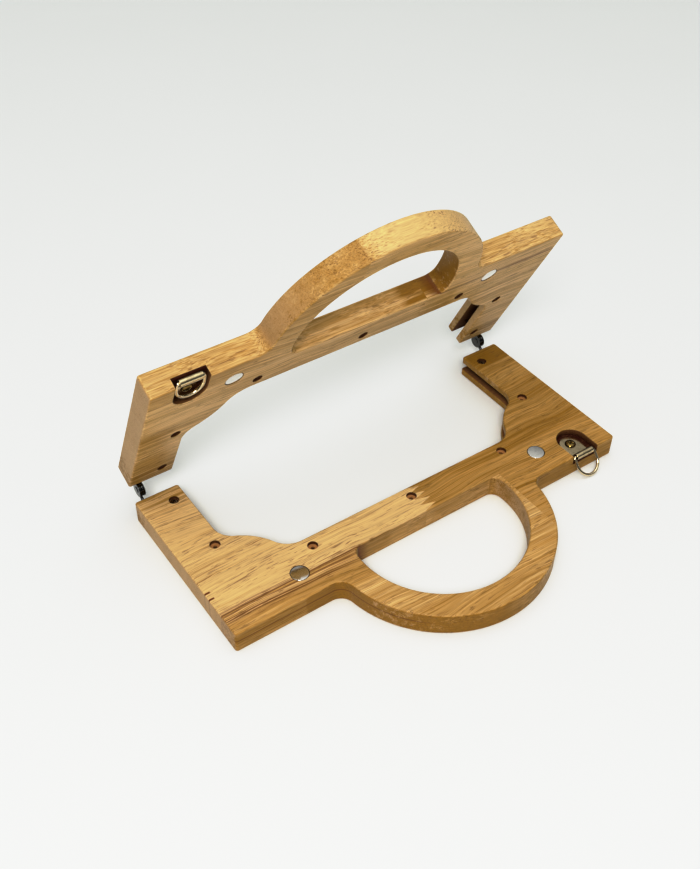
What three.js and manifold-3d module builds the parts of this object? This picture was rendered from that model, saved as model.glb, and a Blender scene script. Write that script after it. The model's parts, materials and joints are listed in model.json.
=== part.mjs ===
// Wooden purse frame: two identical boards, each a shallow U with a D-shaped carrying handle,
// hinged at the leg tips by two pairs of riveted screw eyes. The lower half lies flat with its
// inner face up, the upper half is swung open above it. Millimetres, +Z up, +X along the hinge line.
import * as THREE from 'three';
import { mergeVertices } from 'three/addons/utils/BufferGeometryUtils.js';
import Module from 'manifold-3d';

const wasm = await Module();
wasm.setup();

// ---------------------------------------------------------------- sizes
const WIDTH = 260; // across the two legs, outside to outside
const BOARD = 14; // thickness of each half
const REACH = 109.4; // leg tip to the outer edge of the bar
const LEG = 26.8; // leg width
const BAR = 34.7; // width of the bar
const HANDLE_IN = 4.4; // outer edge of the bar to the centre of the handle's arc
const HANDLE_R = 65.1; // handle's outer radius
const GRIP = 15; // width of the handle around its arc
const D_IN = 14.2; // outer edge of the bar to the flat side of the hand hole
const D_CORNER = 6; // corner radius of the hand hole
const HANDLE_FILLET = 8; // where the handle runs into the bar
const CORNER = 1.6; // plan radius of the outer corners and leg tips
const EDGE = 1.1; // rounding of every long edge
const KNEE_LEG_R = 12.5; // inner corner: hollow next to the leg
const KNEE_HUMP_R = 35; // inner corner: hump
const KNEE_BAR_R = 14; // inner corner: hollow next to the bar
const KNEE_RISE = 34; // knee, along the leg
const KNEE_RUN = 34.6; // knee, along the bar

const SLOT = 5.4; // fabric groove, opening
const SLOT_DEPTH = 11.5; // fabric groove, depth from the inner edge

const FOLD = 63.4; // opening angle as stored: 0 is shut, 180 is flat open
const SHUT_GAP = 0.3; // between the inner faces when shut
const HINGE_OUT = 8.1; // leg tip to the hinge axis
const HINGE_IN = 7.2; // outside of the leg to the pair of eyes
const EYE_R = 4.5; // flattened round eye
const EYE_T = 1.6; // its thickness
const EYE_GAP = 0.3; // between the two eyes of a pair
const EYE_SLANT = 40; // slope of the eye's shank into the leg tip
const NECK_R = 1.05; // plain neck of the eye
const SHANK_R = 1.2; // screwed part of the eye
const SHANK_FROM = 9.6; // hinge axis to the start of the screwed part
const SHANK_TO = 17; // hinge axis to the end of the shank
const PIN_R = 1.2; // rivet
const RIVET_HEAD_R = 1.9;
const RIVET_HEAD_H = 0.3;

const MAGNET_R = 5;
const MAGNET_T = 3;
const MAGNET_IN = [21.2, 18.9]; // from the leg's and the bar's inner edges
const MAGNET_SINK = 0.15; // face below the board's face

const HOLE_R = 3; // clamp screw counterbore
const HOLE_DEPTH = 2.3;
const PILOT_R = 1.3;
const PILOT_BLIND = 3; // into the far cheek of the groove
const TIP_HOLE_IN = [7.7, 10.3]; // into the leg from its inner edge, from the tip
const KNEE_HOLE_IN = [5.3, 11]; // into the leg, past the start of the knee
const BAR_HOLE_IN = 6.7; // into the bar from its inner edge
const BAR_HOLE_SIDE = 2.7; // start of the knee to the bar's outer holes
const SCREW_HEAD_R = 2.7;
const SCREW_HEAD_H = 1.3;
const SCREW_SHANK_R = 1;

const POCKET_SIDE = 23; // strap ring fitting, from the outside of the leg
const POCKET_W = 19;
const POCKET_IN = 11.4; // outer edge of the bar to the centre of the round end
const POCKET_DEPTH = 5;
const LIP_R = 1.2; // rounded outer lip of the pocket floor
const TAB_HALF = 6.4; // half width of the sheet metal tab
const TAB_T = 0.8;
const TAB_SCREW_IN = 12.4; // outer edge of the bar to the tab's screw
const ROLL_EDGE = 1.2; // outer edge of the bar to the ring's bar
const WIRE_R = 0.9; // ring wire
const RING_HALF = 7.6; // half width of the ring, wire centres
const RING_REACH = 13.2; // bar to the far side of the ring, wire centres
const RING_CORNER = 1;
const TAB_HEAD_R = 3.3;
const TAB_HEAD_H = 1.3;
const TAB_SHANK_R = 1.3;
const TAB_SHANK_L = 6;
const RING_TUCKED = 8.2; // upper half's ring, from lying in its pocket
const RING_OUT = 227; // lower half's ring, turned out over the edge

const GAP = 0.3; // between pieces that touch

// derived
const LEG_IN = WIDTH / 2 - LEG;
const BAR_INNER = REACH - BAR;
const HANDLE_C = REACH - HANDLE_IN;
const D_FLAT = REACH - D_IN;
const KNEE_Y = BAR_INNER - KNEE_RISE;
const KNEE_X = LEG_IN - KNEE_RUN;
const HINGE_X = WIDTH / 2 - HINGE_IN;
const MAGNET_X = LEG_IN - MAGNET_IN[0];
const MAGNET_Y = BAR_INNER + MAGNET_IN[1];
const TIP_HOLE = [LEG_IN + TIP_HOLE_IN[0], TIP_HOLE_IN[1]];
const KNEE_HOLE = [LEG_IN + KNEE_HOLE_IN[0], KNEE_Y + KNEE_HOLE_IN[1]];
const BAR_HOLE = [KNEE_X - BAR_HOLE_SIDE, BAR_INNER + BAR_HOLE_IN];
const MID_HOLE = [0, BAR_INNER + BAR_HOLE_IN];
const POCKET_X = WIDTH / 2 - POCKET_SIDE;
const POCKET_C = REACH - POCKET_IN;
const TAB_SCREW_Y = REACH - TAB_SCREW_IN;
const ROLL_Y = REACH - ROLL_EDGE;
const GRIP_R = HANDLE_R - GRIP;
const AXIS_Z = BOARD + SHUT_GAP / 2;
const SLOT_LOW = (BOARD - SLOT) / 2;
const SLOT_TOP = SLOT_LOW + SLOT;
const PITCH = EYE_T + EYE_GAP;
const FLOOR_Z = BOARD - POCKET_DEPTH;
const TAB_Z = FLOOR_Z + GAP;
const ROLL_IN = WIRE_R + GAP;
const ROLL_OUT = ROLL_IN + TAB_T;
const BAR_Z = TAB_Z + ROLL_OUT;

const rad = (deg) => deg * Math.PI / 180;

// ---------------------------------------------------------------- materials
const paint = (color, roughness, metalness = 0) =>
  new THREE.MeshStandardMaterial({ color, roughness, metalness });
const WOOD = paint(0xc9a063, 0.5);
const NICKEL = paint(0xb9b8ae, 0.3, 1);
const STEEL = paint(0x8e8d88, 0.35, 1);
const BRASS = paint(0xb8963f, 0.3, 1);

// ---------------------------------------------------------------- solids
function solid(geometry, matrix) {
  const g = new THREE.BufferGeometry();
  g.setAttribute('position', geometry.getAttribute('position').clone());
  if (geometry.index) g.setIndex(geometry.index.clone());
  if (matrix) g.applyMatrix4(matrix);
  const m = mergeVertices(g, 1e-4);
  return new wasm.Manifold(new wasm.Mesh({
    numProp: 3,
    vertProperties: new Float32Array(m.getAttribute('position').array),
    triVerts: new Uint32Array(m.index.array),
  }));
}

function geometryOf(manifold) {
  const mesh = manifold.getMesh();
  const g = new THREE.BufferGeometry();
  g.setAttribute('position', new THREE.BufferAttribute(new Float32Array(mesh.vertProperties), 3));
  g.setIndex(new THREE.BufferAttribute(new Uint32Array(mesh.triVerts), 1));
  return g;
}

const move = (x, y, z) => new THREE.Matrix4().makeTranslation(x, y, z);
const turnX = (deg) => new THREE.Matrix4().makeRotationX(rad(deg));
const turnY = (deg) => new THREE.Matrix4().makeRotationY(rad(deg));

// points of an arc in plan, both ends included
function arc(cx, cy, r, from, to, n) {
  return Array.from({ length: n + 1 }, (_, i) => {
    const t = rad(from + (to - from) * i / n);
    return [cx + r * Math.cos(t), cy + r * Math.sin(t)];
  });
}

const angle = (c, p) => Math.atan2(p[1] - c[1], p[0] - c[0]) * 180 / Math.PI;

function shape(points, holes = []) {
  const s = new THREE.Shape(points.map(([x, y]) => new THREE.Vector2(x, y)));
  for (const h of holes) s.holes.push(new THREE.Path(h.map(([x, y]) => new THREE.Vector2(x, y))));
  return s;
}

// straight prism from z0 to z1
const prism = (points, z0, z1, holes) =>
  solid(new THREE.ExtrudeGeometry(shape(points, holes), { depth: z1 - z0, bevelEnabled: false }),
    move(0, 0, z0));

// cylinder standing on z0 at x, y
const post = (r, x, y, z0, z1, n = 32) =>
  solid(new THREE.CylinderGeometry(r, r, z1 - z0, n),
    move(x, y, (z0 + z1) / 2).multiply(turnX(90)));

// turned piece about +Z from [radius, height] pairs that start and end on the axis
const turned = (profile, matrix, n = 32) =>
  solid(new THREE.LatheGeometry(profile.map(([r, z]) => new THREE.Vector2(r, z)), n),
    (matrix ?? new THREE.Matrix4()).clone().multiply(turnX(90)));

const block = (x0, x1, y0, y1, z0, z1) =>
  solid(new THREE.BoxGeometry(x1 - x0, y1 - y0, z1 - z0),
    move((x0 + x1) / 2, (y0 + y1) / 2, (z0 + z1) / 2));

// round wire along a closed plan loop
function wireLoop(points, r, sides = 10) {
  const n = points.length;
  const pos = [];
  const idx = [];
  for (let i = 0; i < n; i += 1) {
    const a = points[(i + n - 1) % n];
    const b = points[(i + 1) % n];
    const l = Math.hypot(b[0] - a[0], b[1] - a[1]);
    const nx = (b[1] - a[1]) / l;
    const ny = -(b[0] - a[0]) / l;
    for (let k = 0; k < sides; k += 1) {
      const t = 2 * Math.PI * k / sides;
      const u = r * Math.cos(t);
      pos.push(points[i][0] + nx * u, points[i][1] + ny * u, r * Math.sin(t));
      const j = (i + 1) % n;
      const m = (k + 1) % sides;
      idx.push(i * sides + k, j * sides + k, j * sides + m);
      idx.push(i * sides + k, j * sides + m, i * sides + m);
    }
  }
  const g = new THREE.BufferGeometry();
  g.setAttribute('position', new THREE.BufferAttribute(new Float32Array(pos), 3));
  g.setIndex(idx);
  return g;
}

// ---------------------------------------------------------------- outlines
// inner edge of the left leg, knee and bar, pushed into the wood by d
function innerEdge(d, n) {
  const c1 = [-LEG_IN + KNEE_LEG_R, -KNEE_Y];
  const c3 = [-KNEE_X, -BAR_INNER + KNEE_BAR_R];
  const d1 = KNEE_LEG_R + KNEE_HUMP_R;
  const d3 = KNEE_BAR_R + KNEE_HUMP_R;
  const span = Math.hypot(c3[0] - c1[0], c3[1] - c1[1]);
  const along = (d1 * d1 - d3 * d3 + span * span) / (2 * span);
  const side = Math.sqrt(d1 * d1 - along * along);
  const u = [(c3[0] - c1[0]) / span, (c3[1] - c1[1]) / span];
  const c2 = [c1[0] + along * u[0] + side * u[1], c1[1] + along * u[1] - side * u[0]];
  const a12 = angle(c1, c2);
  const a32 = angle(c3, c2);
  return [
    ...arc(c1[0], c1[1], KNEE_LEG_R + d, -180, a12, n),
    ...arc(c2[0], c2[1], KNEE_HUMP_R - d, a12 + 180, a32 + 180, n).slice(1),
    ...arc(c3[0], c3[1], KNEE_BAR_R + d, a32, -90, n).slice(1),
  ];
}

const mirrored = (points) => points.map(([x, y]) => [-x, y]).reverse();

function boardOutline() {
  const half = WIDTH / 2;
  const fy = -REACH - HANDLE_FILLET;
  const fx = Math.sqrt((HANDLE_R + HANDLE_FILLET) ** 2 - (fy + HANDLE_C) ** 2);
  const join = angle([0, -HANDLE_C], [-fx, fy]);
  const left = [
    ...arc(-LEG_IN - CORNER, -CORNER, CORNER, 0, 90, 3),
    ...arc(-half + CORNER, -CORNER, CORNER, 90, 180, 3),
    ...arc(-half + CORNER, -REACH + CORNER, CORNER, 180, 270, 3),
    ...arc(-fx, fy, HANDLE_FILLET, 90, join + 180, 7),
  ];
  const bow = arc(0, -HANDLE_C, HANDLE_R, join, -180 - join, 44).slice(1, -1);
  const knee = innerEdge(0, 7);
  return [...left, ...bow, ...mirrored(left), ...mirrored(knee).reverse(), ...knee.reverse()];
}

function handHole() {
  const cy = -D_FLAT - D_CORNER;
  const cx = Math.sqrt((GRIP_R - D_CORNER) ** 2 - (cy + HANDLE_C) ** 2);
  const a = angle([0, -HANDLE_C], [-cx, cy]);
  return [
    ...arc(-cx, cy, D_CORNER, 90, a, 6),
    ...arc(0, -HANDLE_C, GRIP_R, a, 540 - a, 40).slice(1, -1),
    ...arc(cx, cy, D_CORNER, 180 - a, 90, 6),
  ];
}

// ---------------------------------------------------------------- one half, lying flat
// rod along the slanted shank of an eye, between two distances from the hinge axis
function slantRod(x, r, from, to, n = 16) {
  const m = move(x, HINGE_OUT, AXIS_Z).multiply(turnX(EYE_SLANT)).multiply(move(0, -from, 0))
    .multiply(turnX(90));
  return turned([[0, 0], [r, 0], [r, to - from], [0, to - from]], m, n);
}

const eyeX = [-HINGE_X - PITCH / 2, HINGE_X - PITCH / 2];

function board() {
  const outline = shape(boardOutline(), [handHole()]);
  let wood = solid(new THREE.ExtrudeGeometry(outline, {
    depth: BOARD - 2 * EDGE,
    bevelEnabled: true,
    bevelThickness: EDGE,
    bevelSize: EDGE,
    bevelOffset: -EDGE,
    bevelSegments: 2,
    curveSegments: 1,
  }), move(0, 0, EDGE));
  const cut = (m) => { wood = wood.subtract(m); };

  // fabric groove along the whole inner edge, open at both leg tips
  const floor = innerEdge(SLOT_DEPTH, 6);
  const far = LEG_IN + SLOT_DEPTH;
  cut(prism([[-far, 5], ...floor, ...mirrored(floor), [far, 5]], SLOT_LOW, SLOT_TOP));

  // clamp screw holes: counterbore, pilot across the groove, blind into the far cheek
  for (const [x, y] of [TIP_HOLE, KNEE_HOLE, BAR_HOLE, MID_HOLE]) {
    for (const s of x ? [-1, 1] : [1]) {
      cut(post(HOLE_R, s * x, -y, BOARD - HOLE_DEPTH, BOARD + 1, 28));
      cut(post(PILOT_R, s * x, -y, SLOT_LOW - PILOT_BLIND, BOARD, 16));
    }
  }
  for (const s of [-1, 1]) {
    cut(post(MAGNET_R + GAP, s * MAGNET_X, -MAGNET_Y, BOARD - MAGNET_T - GAP - MAGNET_SINK,
      BOARD + 1, 40));
  }
  // slanted bores for the hinge eyes
  for (const x of eyeX) cut(slantRod(x, SHANK_R + GAP, SHANK_FROM - 2, SHANK_TO + GAP));

  // strap ring pocket with a rounded outer lip, and the bore of its screw
  const w = POCKET_W / 2;
  cut(prism([
    ...arc(POCKET_X, -POCKET_C, w, 0, 180, 24),
    [POCKET_X - w, -REACH - 2],
    [POCKET_X + w, -REACH - 2],
  ], FLOOR_Z, BOARD + 1));
  const lip = [
    ...arc(-REACH + LIP_R, FLOOR_Z - LIP_R, LIP_R, 90, 180, 5),
    [-REACH - 1, FLOOR_Z - LIP_R],
    [-REACH - 1, FLOOR_Z + 0.5],
    [-REACH + LIP_R, FLOOR_Z + 0.5],
  ];
  cut(solid(new THREE.ExtrudeGeometry(shape(lip.reverse()), { depth: POCKET_W, bevelEnabled: false }),
    move(POCKET_X - w, 0, 0).multiply(
      new THREE.Matrix4().makeBasis(new THREE.Vector3(0, 1, 0), new THREE.Vector3(0, 0, 1),
        new THREE.Vector3(1, 0, 0)))));
  cut(post(TAB_SHANK_R + GAP, POCKET_X, -TAB_SCREW_Y, FLOOR_Z - TAB_SHANK_L - GAP,
    FLOOR_Z + 1, 20));
  return wood;
}

// screw with a domed head and a cross recess, head seated at the origin, shank down
function screw(headR, headH, shankR, length, cross) {
  const dome = [[0, headH], [headR * 0.45, headH * 0.9], [headR * 0.8, headH * 0.6], [headR, 0.15],
    [headR, 0], [shankR, 0], [shankR, -length + shankR], [0.2, -length], [0, -length]];
  let s = turned(dome.reverse(), null, 24);
  for (const k of [0, 90]) {
    const arm = new THREE.BoxGeometry(cross * 2, cross * 0.36, headH);
    s = s.subtract(solid(arm, new THREE.Matrix4().makeRotationZ(rad(k)).multiply(
      move(0, 0, headH))));
  }
  return s;
}

function tab() {
  const y = -TAB_SCREW_Y;
  const plate = prism([
    ...arc(POCKET_X, y, TAB_HALF, 0, 180, 20),
    [POCKET_X - TAB_HALF, -ROLL_Y],
    [POCKET_X + TAB_HALF, -ROLL_Y],
  ], TAB_Z, TAB_Z + TAB_T);
  const along = move(POCKET_X - TAB_HALF, -ROLL_Y, BAR_Z).multiply(turnY(90));
  const L = 2 * TAB_HALF;
  const roll = turned([[0, 0], [ROLL_OUT, 0], [ROLL_OUT, L], [0, L]], along, 28);
  const eye = turned([[0, -1], [ROLL_IN, -1], [ROLL_IN, L + 1], [0, L + 1]], along, 24);
  const seam = block(POCKET_X - TAB_HALF - 1, POCKET_X + TAB_HALF + 1, -ROLL_Y + 0.9,
    -ROLL_Y + 2.4, TAB_Z + TAB_T, TAB_Z + TAB_T + 0.35);
  return plate.add(roll).subtract(eye).subtract(seam)
    .subtract(post(TAB_SHANK_R + GAP, POCKET_X, y, TAB_Z - 1, TAB_Z + TAB_T + 1, 20));
}

// D-shaped ring in plan, bar along X through the origin, bow towards +Y
function ring() {
  const c = RING_CORNER;
  const bow = RING_REACH - RING_HALF;
  return wireLoop([
    ...arc(RING_HALF - c, c, c, -90, 0, 4),
    ...arc(0, bow, RING_HALF, 0, 180, 22),
    ...arc(-RING_HALF + c, c, c, 180, 270, 4),
  ], WIRE_R);
}

// screw eye of the lower half at x: flattened eye, neck and slanted shank
function eye(x) {
  const m = move(x - EYE_T / 2, HINGE_OUT, AXIS_Z).multiply(turnY(90));
  const e = 0.3;
  const disc = turned([[0, 0], [EYE_R - e, 0], [EYE_R, e], [EYE_R, EYE_T - e], [EYE_R - e, EYE_T],
    [0, EYE_T]], m, 32);
  const bore = turned([[0, -1], [PIN_R + GAP, -1], [PIN_R + GAP, EYE_T + 1], [0, EYE_T + 1]], m, 24);
  return disc.add(slantRod(x, NECK_R, EYE_R - 0.8, SHANK_FROM + 1))
    .add(slantRod(x, SHANK_R, SHANK_FROM, SHANK_TO)).subtract(bore);
}

// rivet through a pair of eyes centred on x
function rivet(x) {
  const inner = EYE_T + EYE_GAP / 2 + GAP / 2;
  const h = RIVET_HEAD_H;
  const r = RIVET_HEAD_R;
  const profile = [[0, -inner - h], [r * 0.55, -inner - h * 0.85], [r, -inner - 0.15], [r, -inner],
    [PIN_R, -inner], [PIN_R, inner], [r, inner], [r, inner + 0.15], [r * 0.55, inner + h * 0.85],
    [0, inner + h]];
  return turned(profile, move(x, HINGE_OUT, AXIS_Z).multiply(turnY(90)), 24);
}

// ---------------------------------------------------------------- assembly
const root = new THREE.Group();
root.name = 'purse_frame';

// half turned about the vertical through the hinge line, then folded down to the stored angle
const flip = move(0, HINGE_OUT, AXIS_Z)
  .multiply(turnX(180 - FOLD))
  .multiply(new THREE.Matrix4().makeRotationZ(Math.PI))
  .multiply(move(0, -HINGE_OUT, -AXIS_Z));
const place = { lower: new THREE.Matrix4(), upper: flip };
const swing = { lower: RING_OUT, upper: RING_TUCKED };

const pieces = [];
function put(name, manifold, material, matrix) {
  const g = geometryOf(manifold);
  if (matrix) g.applyMatrix4(matrix);
  pieces.push({ name, g, material });
}

const wood = board();
const tabMetal = tab();
const tipScrewZ = BOARD - HOLE_DEPTH + 0.15;
for (const half of ['lower', 'upper']) {
  const at = place[half];
  put(`${half}_frame`, wood, WOOD, at);
  for (const [side, s] of [['left', -1], ['right', 1]]) {
    // names read from the front, so the turned half swaps its sides
    const name = half === 'lower' ? side : { left: 'right', right: 'left' }[side];
    put(`${half}_magnet_${name}`, turned([[0, 0], [MAGNET_R - 0.3, 0], [MAGNET_R, 0.3],
      [MAGNET_R, MAGNET_T - 0.3], [MAGNET_R - 0.3, MAGNET_T], [0, MAGNET_T]],
    move(s * MAGNET_X, -MAGNET_Y, BOARD - MAGNET_SINK - MAGNET_T), 40), NICKEL, at);
    put(`${half}_tip_screw_${name}`, screw(SCREW_HEAD_R, SCREW_HEAD_H, SCREW_SHANK_R,
      tipScrewZ - SLOT_LOW + PILOT_BLIND - GAP, 1.5), STEEL,
    at.clone().multiply(move(s * TIP_HOLE[0], -TIP_HOLE[1], tipScrewZ)));
    put(`${half}_hinge_eye_${name}`, eye(eyeX[s < 0 ? 0 : 1]), NICKEL, at);
  }
  put(`${half}_ring_tab`, tabMetal, NICKEL, at);
  put(`${half}_tab_screw`, screw(TAB_HEAD_R, TAB_HEAD_H, TAB_SHANK_R,
    TAB_T + GAP + TAB_SHANK_L, 1.9), BRASS,
  at.clone().multiply(move(POCKET_X, -TAB_SCREW_Y, TAB_Z + TAB_T)));
  put(`${half}_strap_ring`, solid(ring()), NICKEL, at.clone()
    .multiply(move(POCKET_X, -ROLL_Y, BAR_Z)).multiply(turnX(swing[half])));
}
put('hinge_rivet_left', rivet(-HINGE_X), NICKEL);
put('hinge_rivet_right', rivet(HINGE_X), NICKEL);

// origin: middle of the footprint, on the table
const bounds = new THREE.Box3();
for (const { g } of pieces) {
  g.computeBoundingBox();
  bounds.union(g.boundingBox);
}
const shift = move(-(bounds.min.x + bounds.max.x) / 2, -(bounds.min.y + bounds.max.y) / 2,
  -bounds.min.z);
for (const { name, g, material } of pieces) {
  g.applyMatrix4(shift);
  g.computeVertexNormals();
  const mesh = new THREE.Mesh(g, material);
  mesh.name = name;
  root.add(mesh);
}

export default root;
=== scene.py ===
"""Hinged wooden purse frame: two equal boards with carrying handles, their hinges, magnets,
clamp screws and strap rings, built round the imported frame.

All positions on a board are in millimetres in the board's own place: x along the hinge line,
y from the leg tips (0) towards the handle (negative), z from the outer face (0) to the inner face.
"""

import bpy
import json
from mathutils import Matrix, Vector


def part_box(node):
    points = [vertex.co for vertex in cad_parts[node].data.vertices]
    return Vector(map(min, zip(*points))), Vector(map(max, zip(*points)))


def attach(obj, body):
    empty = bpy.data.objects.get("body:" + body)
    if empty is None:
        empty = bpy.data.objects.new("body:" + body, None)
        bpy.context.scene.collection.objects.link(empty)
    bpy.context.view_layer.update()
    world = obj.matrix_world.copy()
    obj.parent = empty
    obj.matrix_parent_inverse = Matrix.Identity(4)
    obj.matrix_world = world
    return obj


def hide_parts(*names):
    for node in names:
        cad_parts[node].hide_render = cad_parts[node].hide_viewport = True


bl_info = {
    "name": "Wooden Purse Frame",
    "version": (1, 0, 0),
    "blender": (4, 5, 0),
    "location": "View3D > Sidebar > Purse Frame",
    "description": "Builds a hinged wooden purse frame and its metal fittings",
    "category": "Add Mesh",
}

import json
import math

import bmesh
import bpy
import numpy as np
from mathutils import Matrix, Vector

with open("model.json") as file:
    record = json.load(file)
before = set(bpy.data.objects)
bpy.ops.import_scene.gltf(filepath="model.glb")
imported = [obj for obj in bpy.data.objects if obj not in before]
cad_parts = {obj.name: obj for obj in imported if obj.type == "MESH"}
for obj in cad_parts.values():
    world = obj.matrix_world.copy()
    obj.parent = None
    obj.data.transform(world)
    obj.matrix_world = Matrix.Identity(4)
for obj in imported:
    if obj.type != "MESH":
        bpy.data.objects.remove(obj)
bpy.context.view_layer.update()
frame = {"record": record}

MM = 0.001
JOINTS = {j["name"]: j for j in frame["record"]["behaviour"]["joints"]}

# ---------------------------------------------------------------- places taken from the frame
LOWER_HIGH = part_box("lower_frame")[1]
TIPS_Y = LOWER_HIGH.y / MM  # the leg tips in the row frame
HALF_WIDTH = LOWER_HIGH.x / MM
BOARD = LOWER_HIGH.z / MM
AXIS_Y = JOINTS["fold"]["pos_m"][1] / MM - TIPS_Y
AXIS_Z = JOINTS["fold"]["pos_m"][2] / MM
FOLD = -JOINTS["fold"]["range_deg"][0]

# ---------------------------------------------------------------- the board's sizes, mm
REACH = 109.4  # leg tips to the bar's outer edge
LEG_INNER = HALF_WIDTH - 26.8  # inner edge of the legs, from the middle
BAR_INNER = REACH - 34.7  # inner edge of the bar, from the leg tips
HANDLE_C = REACH - 4.4  # centre of the handle's bow, from the leg tips
HANDLE_R = 65.1  # outer radius of the bow
GRIP_R = HANDLE_R - 15  # inner radius of the bow
HOLE_FLAT = REACH - 14.2  # flat side of the hand hole, from the leg tips
HOLE_CORNER = 6.0  # radius of the hand hole's corners
HANDLE_FILLET = 8.0  # hollow radius where the bow meets the bar
CORNER = 1.6  # radius of the board's corners
KNEE_LEG_R, KNEE_HUMP_R, KNEE_BAR_R = 12.5, 35.0, 14.0  # the knee's hollow, hump and hollow
KNEE_Y = BAR_INNER - 34  # centre of the hollow at the leg
KNEE_X = LEG_INNER - 34.6  # centre of the hollow at the bar

MAGNET_AT = (LEG_INNER - 21.2, -BAR_INNER - 18.9)
MAGNET_T = 3.0  # thickness
MAGNET_SINK = 0.15  # how far its face lies below the board's
# degrees that each glued magnet leans towards the handle
MAGNET_LEAN = {"lower_left": -0.7, "lower_right": 2.4, "upper_left": -1.6, "upper_right": -1.6}
COUNTERBORE = 2.3  # depth of the clamp holes' wide part
PILOT_R = 1.15  # radius of their narrow part
PILOT_END = 1.3  # height where the narrow part ends
CLAMP_HOLES = np.array([
    (-LEG_INNER - 7.7, -10.3), (LEG_INNER + 7.7, -10.3),
    (-LEG_INNER - 5.3, -KNEE_Y - 11), (LEG_INNER + 5.3, -KNEE_Y - 11),
    (-KNEE_X + 2.7, -BAR_INNER - 6.7), (KNEE_X - 2.7, -BAR_INNER - 6.7),
    (0, -BAR_INNER - 6.7)])

POCKET_X = HALF_WIDTH - 23  # middle of the ring pocket
POCKET_HALF = 9.5  # half its width
POCKET_C = REACH - 11.4  # centre of its round end, from the leg tips
POCKET_FLOOR = BOARD - 5
LIP_R = 1.2  # rounding of its floor's outer edge
TAB_HALF = 6.4  # half the ring tab's width
TAB_Z = POCKET_FLOOR + 0.3  # underside of the tab
TAB_T = 0.8  # room for the tab's sheet
TAB_SCREW_Y = -(REACH - 12.4)
ROLL_TURN = 292  # degrees that the tab's sheet turns round the ring's bar
BAR_Y = -(REACH - 1.2)  # the ring's straight bar, which it turns about
BAR_Z = TAB_Z + 2.0
RING_HALF = 7.6  # half the ring's width on the wire's middle line
RING_REACH = 13.2  # its bar to the end of its bow
RING_CORNER = 1.0
# degrees that each ring is turned about its bar as stored
RING_TURN = {"lower": 227.0, "upper": 8.2}

EYE_T = 1.6  # thickness of a hinge eye
EYE_PITCH = 1.9  # between the two eyes of a pair
HINGE_X = HALF_WIDTH - 7.2
EYE_SLANT = 40.0  # degrees that the eyes' shanks slant down into the wood
EYE_BORE = 1.45  # radius of the eye's hole
SHANK_FROM, SHANK_TO = 9.6, 17.0  # the threaded part, from the hinge axis
THREAD_PITCH = 0.8
RIVET_R, RIVET_HEAD, RIVET_PIN = 1.85, 0.2, 1.2  # head radius, head height, pin radius


def half_places():
    """Places of the two halves: the lower one moved to the frame's leg tips, the upper one turned
    half round about the vertical through the hinge line and folded down to the stored angle."""
    lower = Matrix.Translation((0, TIPS_Y, 0))
    flip = (Matrix.Translation((0, AXIS_Y, AXIS_Z))
            @ Matrix.Rotation(math.radians(180 - FOLD), 4, "X")
            @ Matrix.Rotation(math.pi, 4, "Z")
            @ Matrix.Translation((0, -AXIS_Y, -AXIS_Z)))
    return {"lower": lower, "upper": lower @ flip}


HALVES = half_places()


# ---------------------------------------------------------------- settings
class PurseFrameSizes(bpy.types.PropertyGroup):
    """Sizes of the visible detail"""

    edge_rounding: bpy.props.FloatProperty(
        name="Edge rounding", description="Radius of the board's long edges",
        default=1.1 * MM, min=0.2 * MM, max=1.5 * MM, unit="LENGTH", precision=5)
    groove_width: bpy.props.FloatProperty(
        name="Groove width", description="Opening of the fabric groove",
        default=5.4 * MM, min=3 * MM, max=7 * MM, unit="LENGTH", precision=5)
    groove_depth: bpy.props.FloatProperty(
        name="Groove depth", description="Depth of the fabric groove from the inner edge",
        default=11.5 * MM, min=6 * MM, max=13 * MM, unit="LENGTH", precision=5)
    groove_lip: bpy.props.FloatProperty(
        name="Groove lip", description="Rounding of the groove's lips",
        default=0.45 * MM, min=0.1 * MM, max=1 * MM, unit="LENGTH", precision=5)
    clamp_hole: bpy.props.FloatProperty(
        name="Clamp hole radius", description="Radius of the clamp screws' counterbores",
        default=2.9 * MM, min=2 * MM, max=3 * MM, unit="LENGTH", precision=5)
    magnet: bpy.props.FloatProperty(
        name="Magnet radius", description="Radius of the closing magnets",
        default=5 * MM, min=3 * MM, max=5 * MM, unit="LENGTH", precision=5)
    eye: bpy.props.FloatProperty(
        name="Hinge eye radius", description="Radius of the flattened hinge eyes",
        default=4.5 * MM, min=3 * MM, max=4.5 * MM, unit="LENGTH", precision=5)
    ring_wire: bpy.props.FloatProperty(
        name="Ring wire radius", description="Radius of the strap rings' wire",
        default=0.9 * MM, min=0.5 * MM, max=1 * MM, unit="LENGTH", precision=5)
    tab_sheet: bpy.props.FloatProperty(
        name="Tab sheet", description="Thickness of the ring tabs' sheet metal",
        default=0.6 * MM, min=0.3 * MM, max=0.8 * MM, unit="LENGTH", precision=5)


def colour(name, description, default):
    """A colour setting in linear light."""
    return bpy.props.FloatVectorProperty(
        name=name, description=description, default=default, size=3, min=0, max=1,
        subtype="COLOR")


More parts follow.
